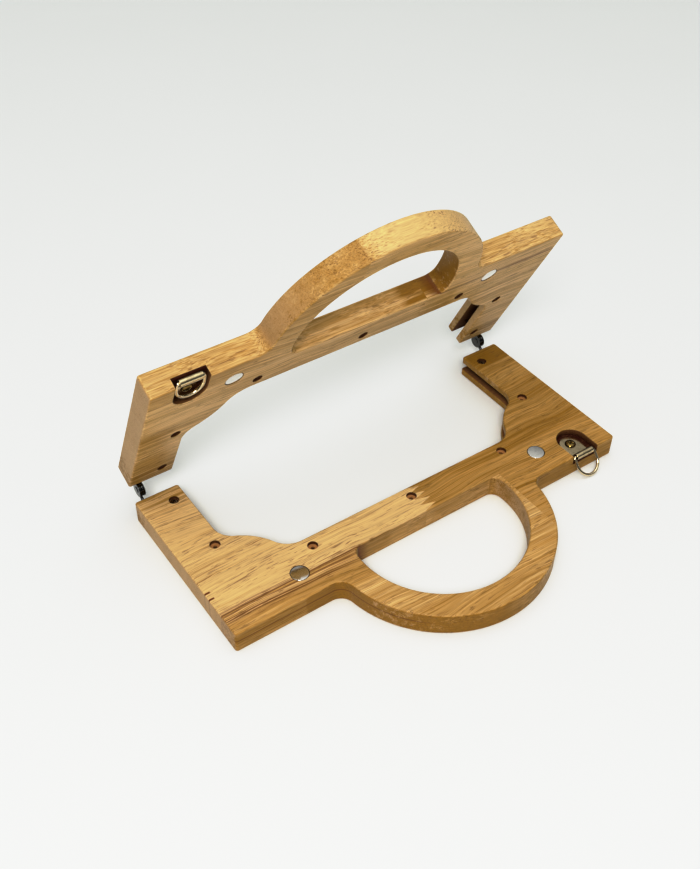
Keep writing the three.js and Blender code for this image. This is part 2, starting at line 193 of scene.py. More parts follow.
class PurseFrameColours(bpy.types.PropertyGroup):
    """Colours of the wood, the metal and the studio"""

    pale_wood: colour("Pale wood", "Lightest early wood under the lacquer", (0.70, 0.50, 0.235))
    tan_wood: colour("Tan wood", "Usual tone of the wood", (0.49, 0.305, 0.092))
    deep_wood: colour("Deep wood", "Darker bands of the wood", (0.33, 0.168, 0.018))
    pores: colour("Pores", "Open pores, seen as short dark dashes", (0.19, 0.085, 0.018))
    red_streak: colour("Red streak", "Dark streaks along the glue line", (0.17, 0.045, 0.008))
    end_grain: colour("End grain", "Ends and cross-cut edges", (0.50, 0.335, 0.165))
    # dark end of the cuts' colour: stain together with painted shade in the recesses
    stain_and_shade: colour("Stain", "Inside of the groove, the pockets and the holes", (0.046, 0.007, 0.0015))
    raw_wood: colour("Raw wood", "Freshly cut floor of the clamp holes", (0.46, 0.22, 0.075))
    nickel: colour("Nickel", "Rings", (0.80, 0.68, 0.47))
    tab: colour("Tab metal", "Sheet metal tabs that hold the rings", (0.70, 0.58, 0.37))
    # near-black hinge colour is a painted reflection: polished metal showing a dark room
    hinge: colour("Hinge metal", "Flattened hinge eyes and rivets", (0.085, 0.085, 0.08))
    magnet: colour("Magnet", "Plated magnet faces", (0.78, 0.76, 0.72))
    brass: colour("Brass", "Screws of the ring tabs", (0.25, 0.17, 0.055))
    steel: colour("Steel", "Clamp screws at the leg tips", (0.26, 0.17, 0.10))
    floor: colour("Floor", "Studio floor", (0.87, 0.88, 0.86))


def sizes():
    """The scene's size settings."""
    return bpy.context.scene.purse_frame_sizes


def mm(name):
    """A size setting in millimetres."""
    return getattr(sizes(), name) / MM


def tint(name):
    """A colour setting with full alpha."""
    return (*getattr(bpy.context.scene.purse_frame_colours, name), 1.0)


# ---------------------------------------------------------------- curves and meshes
def arc(cx, cy, r, start, stop, n):
    """Points at equal angles of a circle, from start to stop in degrees, both included."""
    t = np.radians(np.linspace(start, stop, n + 1))
    return np.column_stack([cx + r * np.cos(t), cy + r * np.sin(t)])


def heading(c, p):
    """Direction from c to p, in degrees."""
    return math.degrees(math.atan2(p[1] - c[1], p[0] - c[0]))


def mirrored(points):
    """Points mirrored left to right, in reverse order."""
    return (points * (-1, 1))[::-1]


def inner_edge(d, n=26):
    """Inner edge of the left leg, knee and bar, pushed d into the wood: three arcs that touch each
    other, hollow, hump and hollow, so a push only changes their radii."""
    c1 = np.array([-LEG_INNER + KNEE_LEG_R, -KNEE_Y])
    c3 = np.array([-KNEE_X, -BAR_INNER + KNEE_BAR_R])
    d1, d3 = KNEE_LEG_R + KNEE_HUMP_R, KNEE_BAR_R + KNEE_HUMP_R
    span = np.linalg.norm(c3 - c1)
    along = (d1 * d1 - d3 * d3 + span * span) / (2 * span)
    side = math.sqrt(d1 * d1 - along * along)
    u = (c3 - c1) / span
    c2 = c1 + along * u + side * np.array([u[1], -u[0]])
    a12, a32 = heading(c1, c2), heading(c3, c2)
    return np.vstack([
        arc(*c1, KNEE_LEG_R + d, -180, a12, n),
        arc(*c2, KNEE_HUMP_R - d, a12 + 180, a32 + 180, n)[1:],
        arc(*c3, KNEE_BAR_R + d, a32, -90, n)[1:]])


def outline(inset):
    """The board's outline pulled in by inset: straight runs and arcs whose radii shrink where the
    wood is convex and grow where it is hollow."""
    fy = -REACH - HANDLE_FILLET
    fx = math.sqrt((HANDLE_R + HANDLE_FILLET) ** 2 - (fy + HANDLE_C) ** 2)
    join = heading((0, -HANDLE_C), (-fx, fy))
    left = np.vstack([
        arc(-LEG_INNER - CORNER, -CORNER, CORNER - inset, 0, 90, 6),
        arc(-HALF_WIDTH + CORNER, -CORNER, CORNER - inset, 90, 180, 6),
        arc(-HALF_WIDTH + CORNER, -REACH + CORNER, CORNER - inset, 180, 270, 6),
        arc(-fx, fy, HANDLE_FILLET + inset, 90, join + 180, 20)])
    bow = arc(0, -HANDLE_C, HANDLE_R - inset, join, -180 - join, 128)[1:-1]
    knee = inner_edge(inset)
    return np.vstack([left, bow, mirrored(left), mirrored(knee)[::-1], knee[::-1]])


def hand_hole(inset):
    """The D-shaped hand hole grown by inset: a flat, two corner arcs and the grip's inner arc."""
    cy = -HOLE_FLAT - HOLE_CORNER
    cx = math.sqrt((GRIP_R - HOLE_CORNER) ** 2 - (cy + HANDLE_C) ** 2)
    a = heading((0, -HANDLE_C), (-cx, cy))
    return np.vstack([
        arc(-cx, cy, HOLE_CORNER + inset, 90, a, 12),
        arc(0, -HANDLE_C, GRIP_R + inset, a, 540 - a, 112)[1:-1],
        arc(cx, cy, HOLE_CORNER + inset, 180 - a, 90, 12)])


def pocket(grow):
    """The ring pocket's plan grown by grow: a round end and two sides that run off the board."""
    end = -REACH - 3
    half = POCKET_HALF + grow
    return np.vstack([[(POCKET_X + half, end)], arc(POCKET_X, -POCKET_C, half, 0, 180, 40),
                      [(POCKET_X - half, end)]])


def groove_path(d):
    """The whole inner edge pushed d into the wood, run 3 mm past both leg tips."""
    left = inner_edge(d, 20)
    half = np.vstack([[(-LEG_INNER - d, 3)], left])
    return np.vstack([half, mirrored(half)])


def lift(plan, z):
    """Plan points at height z."""
    return np.column_stack([plan, np.full(len(plan), float(z))])


def fillet(points, radii, steps=5):
    """An open profile with its inner corners rounded: each corner becomes an arc that touches both
    of its sides, given as a quadratic curve through the two touching points."""
    out = [points[0]]
    for a, b, c, r in zip(points[:-2], points[1:-1], points[2:], radii):
        a, b, c = map(np.asarray, (a, b, c))
        if r <= 0:
            out.append(b)
            continue
        u, v = (a - b) / np.linalg.norm(a - b), (c - b) / np.linalg.norm(c - b)
        t = np.linspace(0, 1, steps + 1)[:, None]
        p, q = b + u * r, b + v * r
        out.extend((1 - t) ** 2 * p + 2 * t * (1 - t) * b + t ** 2 * q)
    out.append(points[-1])
    return np.array(out, float)


def grid_faces(rows, cols, close_rows=False, close_cols=False):
    """Quads between neighbouring points of a rows by cols grid, numbered row by row."""
    i, j = np.meshgrid(np.arange(rows if close_rows else rows - 1),
                       np.arange(cols if close_cols else cols - 1), indexing="ij")
    k, m = (i + 1) % rows, (j + 1) % cols
    return np.stack([i * cols + j, i * cols + m, k * cols + m, k * cols + j], -1).reshape(-1, 4)


def swept(rows, close_rows=False, close_cols=True, caps=False):
    """Points and faces of a surface given as a stack of equal rows of points, with an optional flat
    cap on each end."""
    rows = np.asarray(rows, float)
    r, c = rows.shape[:2]
    faces = grid_faces(r, c, close_rows, close_cols).tolist()
    if caps == "rows":
        faces += [list(range(c)), list(range((r - 1) * c, r * c))]
    if caps == "cols":
        faces += [[k * c for k in range(r)], [k * c + c - 1 for k in range(r)]]
    return rows.reshape(-1, 3), faces


def turned(profile, n=48):
    """A turned surface: each (radius, height) of the profile swept round Z in n equal steps."""
    t = np.linspace(0, 2 * math.pi, n, endpoint=False)
    p = np.asarray(profile, float)
    rows = np.stack([p[:, :1] * np.cos(t), p[:, :1] * np.sin(t), np.repeat(p[:, 1:], n, 1)], -1)
    return swept(rows)


def joined(*parts):
    """Several surfaces as one list of points and faces."""
    points, faces, base = [], [], 0
    for p, f in parts:
        points.append(np.asarray(p, float))
        faces += [[v + base for v in face] for face in f]
        base += len(p)
    return np.vstack(points), faces


def moved(part, matrix):
    """A surface with its points carried by a 4 x 4 matrix."""
    m = np.array(matrix)
    return part[0] @ m[:3, :3].T + m[:3, 3], part[1]


def mesh_of(name, part, scale=1.0):
    """A mesh with its doubles merged and its faces turned outwards."""
    mesh = bpy.data.meshes.new(name)
    mesh.from_pydata((part[0] * scale).tolist(), [], part[1])
    bm = bmesh.new()
    bm.from_mesh(mesh)
    bmesh.ops.remove_doubles(bm, verts=bm.verts, dist=2e-4 * scale)
    bmesh.ops.dissolve_degenerate(bm, edges=bm.edges, dist=1e-5 * scale)
    bmesh.ops.recalc_face_normals(bm, faces=bm.faces)
    bm.to_mesh(mesh)
    bm.free()
    return mesh


def smooth(mesh, angle=32):
    """Smooth shading with edges over the angle kept sharp."""
    mesh.polygons.foreach_set("use_smooth", np.ones(len(mesh.polygons), bool))
    mesh.set_sharp_from_angle(angle=math.radians(angle))


def finished(obj):
    """obj with its modifiers applied to a plain mesh of its own."""
    graph = bpy.context.evaluated_depsgraph_get()
    mesh = bpy.data.meshes.new_from_object(obj.evaluated_get(graph))
    obj.modifiers.clear()
    obj.data = mesh
    return obj


def add_object(name, data):
    """A new object of this mesh, lamp or camera in the scene, at the origin."""
    obj = bpy.data.objects.new(name, data)
    bpy.context.scene.collection.objects.link(obj)
    return obj


def add_piece(node, part, body, material, place=None, angle=32):
    """A piece in the row frame that stands for one CAD node and rides on its body."""
    if place is not None:
        part = moved(part, place)
    mesh = mesh_of(node + "_look", part, MM)
    smooth(mesh, angle)
    return register_piece(add_object(node + "_look", mesh), node, body, material)


def register_piece(obj, node, body, material):
    """Gives a piece its material and slot, sets it on its body and hides the node it stands for."""
    obj.data.materials.clear()
    obj.data.materials.append(material)
    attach(obj, body)
    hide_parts(node)
    return obj


# ---------------------------------------------------------------- shader helpers
class Shader:
    """A small helper that adds and links the nodes of one material."""

    def __init__(self, name):
        self.material = bpy.data.materials.new(name)
        self.material.use_nodes = True
        self.tree = self.material.node_tree
        self.tree.nodes.clear()

    def node(self, kind, inputs=None, **settings):
        """A new node with its settings made and its inputs fed."""
        n = self.tree.nodes.new(kind)
        for key, value in settings.items():
            setattr(n, key, value)
        for key, value in (inputs or {}).items():
            self.feed(n.inputs[key], value)
        return n

    def feed(self, socket, value):
        """Links a socket to another, or sets its value."""
        if isinstance(value, bpy.types.NodeSocket):
            self.tree.links.new(value, socket)
        else:
            socket.default_value = value

    def math(self, operation, a, b=0.0, c=0.0, clamp=False):
        """One Math node."""
        n = self.node("ShaderNodeMath", {0: a, 1: b, 2: c}, operation=operation, use_clamp=clamp)
        return n.outputs[0]

    def step(self, value, low, high):
        """0 below low, 1 above high, and smooth between them."""
        n = self.node("ShaderNodeMapRange", {"Value": value, "From Min": low, "From Max": high},
                      interpolation_type="SMOOTHSTEP")
        return n.outputs["Result"]

    def band(self, value, low, high, soft):
        """1 between low and high, fading to 0 over soft on both sides."""
        return self.math("MULTIPLY", self.step(value, low - soft, low),
                         self.step(value, high + soft, high))

    def noise(self, vector, scale, detail=2.0, rough=0.5, offset=(0, 0, 0)):
        """Noise over coordinates stretched by scale per axis."""
        at = self.node("ShaderNodeMapping", {"Vector": vector, "Scale": scale, "Location": offset})
        n = self.node("ShaderNodeTexNoise", {"Vector": at.outputs[0], "Scale": 1.0,
                                             "Detail": detail, "Roughness": rough})
        return n.outputs["Fac"]

    def mix(self, factor, a, b, blend="MIX"):
        """Colour a turning into b as factor goes from 0 to 1."""
        n = self.node("ShaderNodeMix", data_type="RGBA", blend_type=blend, clamp_factor=True)
        self.feed(n.inputs[0], factor)
        self.feed(n.inputs[6], a)
        self.feed(n.inputs[7], b)
        return n.outputs[2]

    def bump(self, height, strength, distance):
        """A normal that follows the height, whose full depth is distance in metres."""
        return self.node("ShaderNodeBump", {"Height": height, "Strength": strength,
                                            "Distance": distance}).outputs[0]

    def millimetres(self, place=Matrix()):
        """Object coordinates in millimetres, turned and shifted by place."""
        return self.node("ShaderNodeMapping", {
            "Vector": self.node("ShaderNodeTexCoord").outputs["Object"], "Scale": (1 / MM,) * 3,
            "Rotation": place.to_euler(), "Location": place.to_translation()}).outputs[0]

    def share(self, name):
        """A share from 0 to 1 that is stored on the mesh."""
        return self.node("ShaderNodeAttribute", attribute_name=name).outputs["Fac"]

    def finish(self, **sockets):
        """The material, with a Principled surface fed with these sockets."""
        surface = self.node("ShaderNodeBsdfPrincipled")
        for key, value in sockets.items():
            self.feed(surface.inputs[key.replace("_", " ")], value)
        out = self.node("ShaderNodeOutputMaterial")
        self.tree.links.new(surface.outputs[0], out.inputs["Surface"])
        return self.material


# ---------------------------------------------------------------- wood and metal
# The halves are cut from different strips. Where strips meet end to end: x of the joint, length of
# its fingers, tone to its left and tone to its right, from 0 (pale) to 1 (deep). wall is painted
# shade: what the side walls add to the tone, so they come out darker than the faces. seed moves the
# noise.
STRIPS = {
    "lower": {"bar": (4.0, 9.0, -0.12, 0.66), "handle": (52.0, 0.0, 0.34, 0.50), "wall": 0.30,
              "seed": 40.0},
    "upper": {"bar": (-38.0, 0.0, 0.16, 0.20), "handle": (24.0, 0.0, 0.14, 0.28), "wall": 0.22,
              "seed": 213.0},
}
# Patches of another tone: x from and to, y from and to, softness, where (the side walls, the outer
# wall of the handle and bar, the faces or both), and what they add to the tone. Those on the walls
# are painted shade where they deepen and painted light where they pale; the others are the wood's own
# tone.
PATCHES = {
    "lower": ((-22.0, 3.0, -94.0, -82.0, 5.0, "both", -0.25),
              # painted shade in the hollow where the handle meets the bar
              (-84.0, -56.0, -126.0, -103.0, 5.0, "walls", 1.1),
              # painted shade on the handle's outer wall at the left
              (-70.0, -10.0, -175.0, -118.0, 9.0, "outer", 0.35)),
    "upper": ((118.0, 131.0, -60.0, -14.0, 12.0, "faces", 0.32),
              (-56.0, -42.0, -95.0, -70.0, 8.0, "faces", 0.35),
              # painted shade on the end wall of the hand hole
              (-56.0, -30.0, -140.0, -94.0, 10.0, "walls", 1.05),
              # painted light on the handle's outer wall at its far end, which faces up
              (-50.0, 10.0, -178.0, -150.0, 18.0, "outer", -0.80),
              # painted light: a pale line along the bar's outer wall, which faces up
              (-131.0, 131.0, -110.0, -108.0, 3.0, "outer", -0.40)),
}
OUTER = (56.0, 61.0)  # the outer wall starts between these distances from the bow's centre
GLUE_Y = -95.5  # straight glue line between the bar's strip and the handle's strip
GLUE_HALF = 0.12  # half the width over which the strips change
FINGER = 2.5  # half the pitch of the finger joint's teeth
JOINT_HALF = 0.15  # half the width over which a joint changes
JOINT_FADE = (-86.0, -92.0)  # from here on the joints' tones nearly even out on the walls
JOINT_EVEN = 0.8  # by this share
PIECE_SHIFT = (157.0, 31.0)  # between one strip piece and the next in the noise, along x and y
SWAY = 16.0  # how far the grain wanders sideways
TIPS = (-24.0, -6.0)  # the leg tips darken over this
TIPS_DEEPER = 0.65
THREADS_DEEPER = 0.30
RED_Y, RED_X = -101.5, (-36.0, -58.0)  # the red streaks' far side, and where they fade in
RED_SHARE = {"lower": 0.78, "upper": 0.3}
LINE_X = (-38.0, -44.0)  # the glue line turns from faint to dark over this
LINE_FAINT, LINE_DARKER = 0.10, 0.66
SEAM_Z, SEAM_X, SEAM_Y = (7.7, 8.2), (-40.0, -50.0), (-100.0, -108.0)  # seam in the left edge
SEAM_SHARE = 0.75
MARKS_Y, MARK_HALF, MARKS_X = (-78.75, -83.25), 0.35, (-126.4, -127.2)  # two nicks on the left edge
DASH_SHARE = 0.62
END_SHARE, END_HIDDEN = 0.8, 0.75  # how far end grain shows, and how much less in deep wood


def strip_sides(s, half, x, y):
    """For the bar's and the handle's strip, 0 left of the end joint and 1 right of it. The joint's
    line runs to and fro over the length of its fingers."""
    teeth = s.math("DIVIDE", s.math("PINGPONG", y, FINGER), FINGER)
    sides = {}
    for name in ("bar", "handle"):
        at, length = STRIPS[half][name][:2]
        edge = s.math("MULTIPLY_ADD", teeth, length, at - length / 2)
        sides[name] = s.step(s.math("SUBTRACT", x, edge), -JOINT_HALF, JOINT_HALF)
    return sides


def grain_place(s, own, axes, sides, in_bar, seed):
    """Where the noise is read: the grain wanders sideways, and the pieces lie far apart."""
    x, y, z = axes
    piece = s.math("MULTIPLY_ADD", sides["bar"], in_bar,
                   s.math("MULTIPLY", s.math("SUBTRACT", 1.0, in_bar),
                          s.math("ADD", sides["handle"], 2.0)))
    sway = s.noise(own, (0.012, 0.02, 0.03), 2, offset=(seed, 0, 0))
    aside = s.math("MULTIPLY_ADD", s.math("SUBTRACT", sway, 0.5), SWAY, y)
    return s.node("ShaderNodeCombineXYZ", {
        0: s.math("MULTIPLY_ADD", piece, PIECE_SHIFT[0], x),
        1: s.math("MULTIPLY_ADD", piece, PIECE_SHIFT[1], aside), 2: z}).outputs[0]


def patch_places(s, own, wall):
    """The parts of the board that a patch may lie on, each as a share from 0 to 1."""
    from_bow = s.node("ShaderNodeVectorMath", {0: own, 1: (0.0, -HANDLE_C, BOARD / 2)},
                      operation="DISTANCE").outputs["Value"]
    walls = s.step(wall, 0.3, 0.7)
    return {"both": 1.0, "walls": walls, "faces": s.step(wall, 0.6, 0.2),
            "outer": s.math("MULTIPLY", walls, s.step(from_bow, *OUTER))}


def tone_depth(s, half, own, axes, bent, sides, in_bar):
    """Tone from 0 (pale) to 1 (deep), the sum of the strip's own tone, wide bands, narrow bands,
    fine streaks and threads along the grain, painted shade on the walls, the leg tips and the
    patches, some of which paint shade or light on the walls. Returns it with the fine streaks."""
    x, y, _ = axes
    seed = STRIPS[half]["seed"]
    wall = s.share("wall")
    fade = s.math("MULTIPLY", wall, s.step(y, *JOINT_FADE))

    def tone_of(name):
        """The tone of a row of strips, evened out beside its joint."""
        left, right = STRIPS[half][name][2:]
        even = s.math("MULTIPLY", fade, s.math("SUBTRACT", 0.5, sides[name]))
        side = s.math("MULTIPLY_ADD", even, JOINT_EVEN, sides[name])
        return s.math("MULTIPLY_ADD", side, right - left, left)

    depth = s.math("MULTIPLY_ADD", s.math("SUBTRACT", tone_of("bar"), tone_of("handle")), in_bar,
                   tone_of("handle"))
    wide = s.noise(bent, (0.006, 0.06, 0.05), 2, 0.55, offset=(0, seed, 3))
    bands = s.noise(bent, (0.011, 0.34, 0.28), 3, 0.6, offset=(seed, 5, 0))
    fine = s.noise(bent, (0.022, 1.25, 1.05), 3, 0.7, offset=(1, seed, 9))
    for pattern, share in ((wide, 0.9), (bands, 0.9), (fine, 0.5)):
        depth = s.math("MULTIPLY_ADD", s.math("SUBTRACT", pattern, 0.5), share, depth)
    threads = s.step(s.noise(bent, (0.016, 1.9, 1.6), 2, 0.5, offset=(seed, 11, 4)), 0.50, 0.66)
    tips = s.math("MULTIPLY", s.step(y, *TIPS), s.step(bands, 0.30, 0.62))
    # the walls' share is painted shade: side walls are made deeper than the faces
    for pattern, share in ((threads, THREADS_DEEPER), (wall, STRIPS[half]["wall"]),
                           (tips, TIPS_DEEPER)):
        depth = s.math("MULTIPLY_ADD", pattern, share, depth)
    places = patch_places(s, own, wall)
    # patches on the walls deepen as painted shade or pale as painted light; the rest are the wood's
    # own tone
    for left, right, far, near, soft, place, amount in PATCHES[half]:
        patch = s.math("MULTIPLY", s.band(x, left, right, soft), s.band(y, far, near, soft))
        patch = s.math("MULTIPLY", patch, s.step(bands, 0.2, 0.6))
        depth = s.math("MULTIPLY_ADD", s.math("MULTIPLY", patch, places[place]), amount, depth)
    return depth, fine


def pore_dashes(s, bent, seed):
    """Short and long dark dashes along the grain, thicker where they crowd."""
    crowd = s.step(s.noise(bent, (0.02, 0.13, 0.12), 2, offset=(5, 0, seed)), 0.34, 0.62)
    short = s.noise(bent, (0.15, 1.35, 1.3), 1.0, 0.5, offset=(seed, 2, 7))
    long = s.noise(bent, (0.060, 1.35, 1.2), 1.5, 0.5, offset=(9, seed, 1))
    dashes = s.math("MAXIMUM", s.math("MULTIPLY", s.step(short, 0.62, 0.70), DASH_SHARE),
                    s.math("MULTIPLY", s.step(long, 0.60, 0.69), DASH_SHARE))
    return s.math("MULTIPLY", dashes, s.math("MULTIPLY_ADD", crowd, 0.8, 0.2))


def dark_lines(s, half, axes, bent):
    """Red streaks in the handle's strip next to the glue line and the line itself, and on the lower
    half the seam in its left edge and two nicks."""
    x, y, z = axes
    streaks = s.noise(bent, (0.010, 1.0, 0.8), 3, 0.6, offset=(STRIPS[half]["seed"], 77, 2))
    red = s.math("MULTIPLY", s.step(streaks, 0.45, 0.58),
                 s.math("MULTIPLY", s.band(y, RED_Y, GLUE_Y, 4.0), s.step(x, *RED_X)))
    line = s.math("MULTIPLY", s.band(y, GLUE_Y - 0.3, GLUE_Y + 0.2, 0.3),
                  s.math("MULTIPLY_ADD", s.step(x, *LINE_X), LINE_DARKER, LINE_FAINT))
    lines = s.math("MAXIMUM", s.math("MULTIPLY", red, RED_SHARE[half]), line)
    if half == "upper":
        return lines
    seam = s.math("MULTIPLY", s.band(z, *SEAM_Z, 0.25),
                  s.math("MULTIPLY", s.step(x, *SEAM_X), s.step(y, *SEAM_Y)))
    nicks = s.math("ADD", *(s.band(y, at - MARK_HALF, at + MARK_HALF, 0.4) for at in MARKS_Y))
    lines = s.math("MAXIMUM", lines, s.math("MULTIPLY", seam, SEAM_SHARE))
    return s.math("MAXIMUM", lines, s.math("MULTIPLY", s.step(x, *MARKS_X), nicks))


def wood_material(half):
    """Lacquered wood in the half's own place, in millimetres, with the grain along x. Two strips
    meet at a glue line, each strip has an end joint, and each piece between joints reads its own
    part of the noise: wide bands, fine streaks, and pores drawn out along the grain."""
    s = Shader(f"{half}_wood")
    own = s.millimetres(HALVES[half].inverted())
    axes = s.node("ShaderNodeSeparateXYZ", {0: own}).outputs
    x, y, z = axes
    seed = STRIPS[half]["seed"]
    in_bar = s.step(y, GLUE_Y - GLUE_HALF, GLUE_Y + GLUE_HALF)
    sides = strip_sides(s, half, x, y)
    bent = grain_place(s, own, axes, sides, in_bar, seed)
    depth, fine = tone_depth(s, half, own, axes, bent, sides, in_bar)

    low = s.mix(s.step(depth, 0.0, 0.5), tint("pale_wood"), tint("tan_wood"))
    tone = s.mix(s.step(depth, 0.45, 1.05), low, tint("deep_wood"))
    light = s.math("MULTIPLY_ADD", s.math("SUBTRACT", fine, 0.5), -0.8, 1.0)
    grey = s.node("ShaderNodeCombineXYZ", {0: light, 1: light, 2: light}).outputs[0]
    tone = s.mix(1.0, tone, grey, "MULTIPLY")
    dashes = pore_dashes(s, bent, seed)
    tone = s.mix(dashes, tone, tint("pores"))
    tone = s.mix(dark_lines(s, half, axes, bent), tone, tint("red_streak"))

    specks = s.step(s.noise(own, (0.8, 1.9, 1.9), 2, 0.6, offset=(3, 3, seed)), 0.40, 0.72)
    end_tone = s.mix(s.math("MULTIPLY", specks, 0.45), tint("end_grain"), tint("deep_wood"))
    shown = s.math("MULTIPLY_ADD", s.step(depth, 0.65, 1.0), -END_HIDDEN, END_SHARE)
    ends = s.step(s.share("end_grain"), 0.45, 0.98)
    tone = s.mix(s.math("MULTIPLY", ends, shown), tone, end_tone)

    relief = s.math("SUBTRACT", s.math("MULTIPLY", fine, 0.4), dashes)
    rough = s.math("MULTIPLY_ADD", s.noise(own, (0.05, 0.05, 0.05), 3, offset=(seed, 1, 1)), 0.14,
                   0.34)
    return s.finish(Base_Color=tone, Roughness=s.math("MULTIPLY_ADD", dashes, 0.25, rough),
                    Normal=s.bump(relief, 0.35, 0.00025), Coat_Weight=0.08, Coat_Roughness=0.25,
                    Specular_IOR_Level=0.13)


def cut_wood_material():
    """Stained bare wood of grooves, pockets and holes: raw where freshly cut, and darker with depth
    by stain together with painted shade in the recess.
    """
    s = Shader("cut_wood")
    fibre = s.noise(s.millimetres(), (0.15, 1.4, 1.4), 3, 0.6)
    shade = s.math("MULTIPLY_ADD", s.math("SUBTRACT", fibre, 0.5), 0.7, s.share("stain_and_shade_share"), clamp=True)
    return s.finish(Base_Color=s.mix(shade, tint("raw_wood"), tint("stain_and_shade")), Roughness=0.8,
                    Normal=s.bump(fibre, 0.4, 0.0003), Specular_IOR_Level=0.15)


def metal_material(name, colour_name, rough, wear=0.1, dull=0.06):
    """Plated metal: a cloudy tarnish, as deep as wear, over the plating's colour, fine scratches
    that vary its roughness by dull, and a faint ripple."""
    s = Shader(name)
    own = s.millimetres()
    cloud = s.noise(own, (0.35, 0.35, 0.35), 4, 0.6)
    scratch = s.noise(own, (3.0, 9.0, 9.0), 3, 0.6, offset=(7, 1, 4))
    base = tint(colour_name)
    dark = tuple(c * (1 - 3.2 * wear) for c in base[:3]) + (1.0,)
    tone = s.mix(s.step(cloud, 0.42, 0.72), base, dark)
    return s.finish(Base_Color=tone, Metallic=1.0,
                    Roughness=s.math("MULTIPLY_ADD", scratch, dull * 2, rough - dull),
                    Normal=s.bump(s.math("ADD", cloud, s.math("MULTIPLY", scratch, 0.2)), 0.08,
                                  0.00012))


# ---------------------------------------------------------------- the boards
def edge_round(contour):
    """A contour carried round the board's edge: a quarter round from the inner face, the flat edge
    and a quarter round to the outer face, inset r(1 - sin t) at r(1 - cos t) from each face."""
    r = mm("edge_rounding")
    t = np.linspace(0, math.pi / 2, 7)
    inset, drop = r * (1 - np.sin(t)), r * (1 - np.cos(t))
    rows = [lift(contour(i), BOARD - d) for i, d in zip(inset, drop)]
    rows += [lift(contour(i), d) for i, d in zip(inset[::-1], drop[::-1])]
    return swept(rows)


def plain_board():
    """The board before it is grooved and drilled, its two faces filled inside their rounded rims."""
    points, faces = joined(edge_round(outline), edge_round(hand_hole))
    mesh = bpy.data.meshes.new("board")
    mesh.from_pydata(points.tolist(), [], faces)
    bm = bmesh.new()
    bm.from_mesh(mesh)
    bmesh.ops.remove_doubles(bm, verts=bm.verts, dist=1e-3)
    for face in (0.0, BOARD):
        rim = [e for e in bm.edges if e.is_boundary and abs(e.verts[0].co.z - face) < 1e-3]
        bmesh.ops.triangle_fill(bm, use_beauty=True, edges=rim)
    bmesh.ops.recalc_face_normals(bm, faces=bm.faces)
    bm.to_mesh(mesh)
    bm.free()
    return add_object("board", mesh)


def groove_cutter():
    """The groove's section carried along the inner edge: two lips rounded by a quarter circle, two
    cheeks and a floor with small corner rounds."""
    mid, half, lip = BOARD / 2, mm("groove_width") / 2, mm("groove_lip")
    depth = mm("groove_depth")
    t = np.linspace(0, math.pi / 2, 6)
    flare = np.column_stack([lip * (1 - np.cos(t)), half + lip * (1 - np.sin(t))])
    floor = np.array([(depth - 0.4, half), (depth - 0.1, half - 0.1), (depth, half - 0.4)])
    upper = np.vstack([[(-3, half + lip)], flare, floor])
    section = np.vstack([upper, (upper * (1, -1))[::-1]])
    rows = [lift(groove_path(d), mid + h) for d, h in section]
    return swept(rows, close_rows=True, close_cols=False, caps="cols")


def bore_cutters():
    """Counterbores with pilot holes, magnet seats, the ring pocket and the hinge bores, each with a
    slightly broken rim: b wide on the counterbores, rim wide on the pocket, whose floor meets its
    wall in a hollow of radius hollow."""
    top = BOARD + 1
    r, b = mm("clamp_hole"), 0.25
    rim, hollow = 0.35, 0.7
    floor = BOARD - COUNTERBORE
    clamp = turned([(0, PILOT_END), (PILOT_R, PILOT_END + 0.5), (PILOT_R, floor), (r - 0.15, floor),
                    (r, floor + 0.15), (r, BOARD - b), (r + b * 0.3, BOARD - b * 0.3), (r + b, BOARD),
                    (r + b, top), (0, top)], 44)
    seat_r, seat_floor = mm("magnet") + 0.22, BOARD - MAGNET_T - 0.45
    seat = turned([(0, seat_floor), (seat_r, seat_floor), (seat_r, BOARD - 0.15),
                   (seat_r + 0.15, BOARD), (seat_r + 0.15, top), (0, top)], 56)
    parts = [moved(clamp, Matrix.Translation((x, y, 0))) for x, y in CLAMP_HOLES]
    parts += [moved(seat, Matrix.Translation((s * MAGNET_AT[0], MAGNET_AT[1], 0))) for s in (-1, 1)]
    t = np.linspace(0, math.pi / 2, 5)
    rows = [lift(pocket(-hollow * (1 - math.sin(a))), POCKET_FLOOR + hollow * (1 - math.cos(a)))
            for a in t]
    rows += [lift(pocket(rim * (1 - math.cos(a))), BOARD - rim + rim * math.sin(a)) for a in t]
    rows.append(lift(pocket(rim), top))
    parts.append(swept(rows, caps="rows"))
    bore = turned([(0, 0), (1.4, 0), (1.4, 11), (0, 11)], 28)
    for x in eye_places():
        parts.append(moved(bore, shank_place(x, 7.6)))
    return joined(*parts)


def lip_cutter():
    """Rounds the pocket floor's outer edge, so the ring can turn out over it: a quarter circle in
    the y and z plane carried along x."""
    edge = arc(-REACH + LIP_R, POCKET_FLOOR - LIP_R, LIP_R, 90, 180, 8)
    section = np.vstack([edge, [(-REACH - 2, POCKET_FLOOR - LIP_R), (-REACH - 2, POCKET_FLOOR + 0.6),
                                (-REACH + LIP_R, POCKET_FLOOR + 0.6)]])
    rows = [np.column_stack([np.full(len(section), POCKET_X + s * (POCKET_HALF - 0.02)), section])
            for s in (-1, 1)]
    return swept(rows, caps="rows")


def cut(board, *parts):
    """Takes the cutters out of the board one after another."""
    for k, part in enumerate(parts):
        tool = add_object(f"tool_{k}", mesh_of(f"tool_{k}", part))
        step = board.modifiers.new("cut", "BOOLEAN")
        step.operation = "DIFFERENCE"
        step.solver = "MANIFOLD"
        step.object = tool
        finished(board)
        bpy.data.objects.remove(tool)
    return board


def depth_in_wood(points, path):
    """Distance of plan points from a dense path, point to nearest path point."""
    gap = points[:, None, :] - path[None, :, :]
    return np.sqrt((gap ** 2).sum(-1)).min(1)


def stored_values(collection, name, count, kind=np.float32):
    """One array of a mesh's stored values."""
    out = np.zeros(count, kind)
    collection.foreach_get(name, out)
    return out


